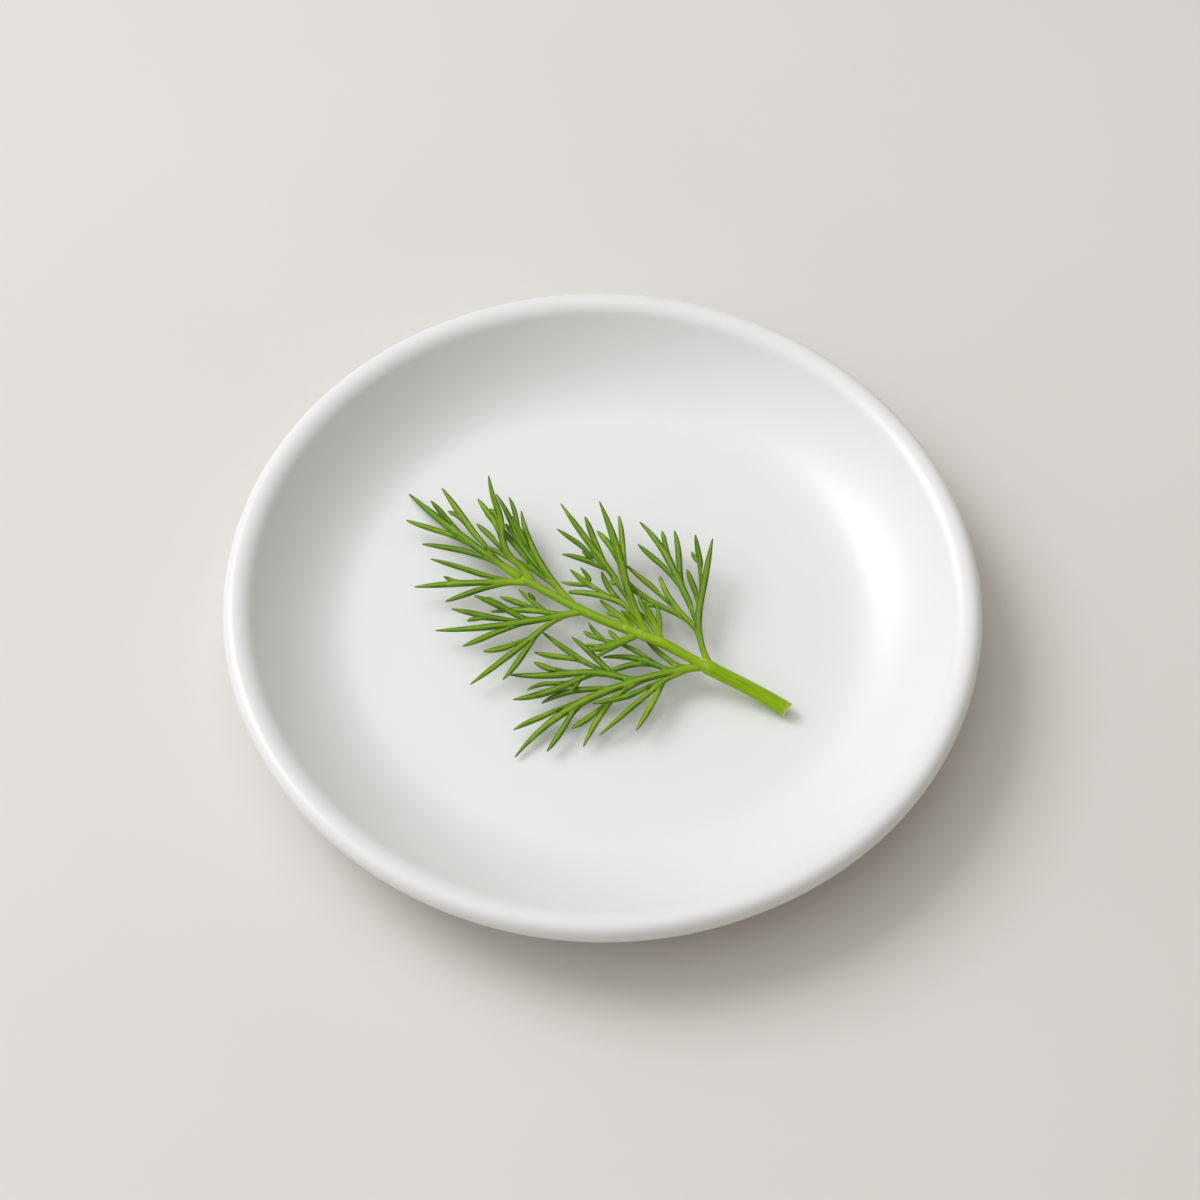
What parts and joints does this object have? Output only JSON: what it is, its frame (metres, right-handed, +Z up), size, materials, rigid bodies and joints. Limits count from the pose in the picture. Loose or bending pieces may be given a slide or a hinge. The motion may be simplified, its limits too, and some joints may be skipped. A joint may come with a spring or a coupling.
{
  "type": "dill sprig on a plate",
  "caption": "Cut sprig of fresh dill with feathery green leaves, lying across a small round white glazed porcelain dish with a rolled lip and a foot ring.",
  "frame": {"origin": "centre of the dish's foot, on the surface it stands on", "axes": "+Z up; -Y towards the viewer; the cut end of the stem points to +X and -Y"},
  "size_m": [0.1, 0.1, 0.013],
  "materials": {
    "glazed_porcelain": "glossy white glaze",
    "dill_stem": "satin, yellow-green",
    "dill_leaf": "satin, leaf green"
  },
  "bodies": {
    "root": {"plate": "glazed_porcelain", "stem": "dill_stem", "leaf_1_left": "dill_leaf", "leaf_1_right": "dill_leaf", "leaf_2_right": "dill_leaf", "leaf_3_left": "dill_leaf", "leaf_3_middle": "dill_leaf", "leaf_3_right": "dill_leaf", "leaf_4_left": "dill_leaf", "leaf_4_right": "dill_leaf", "leaf_5_left": "dill_leaf", "leaf_5_right": "dill_leaf", "leaf_tip": "dill_leaf"}
  },
  "joints": []
}
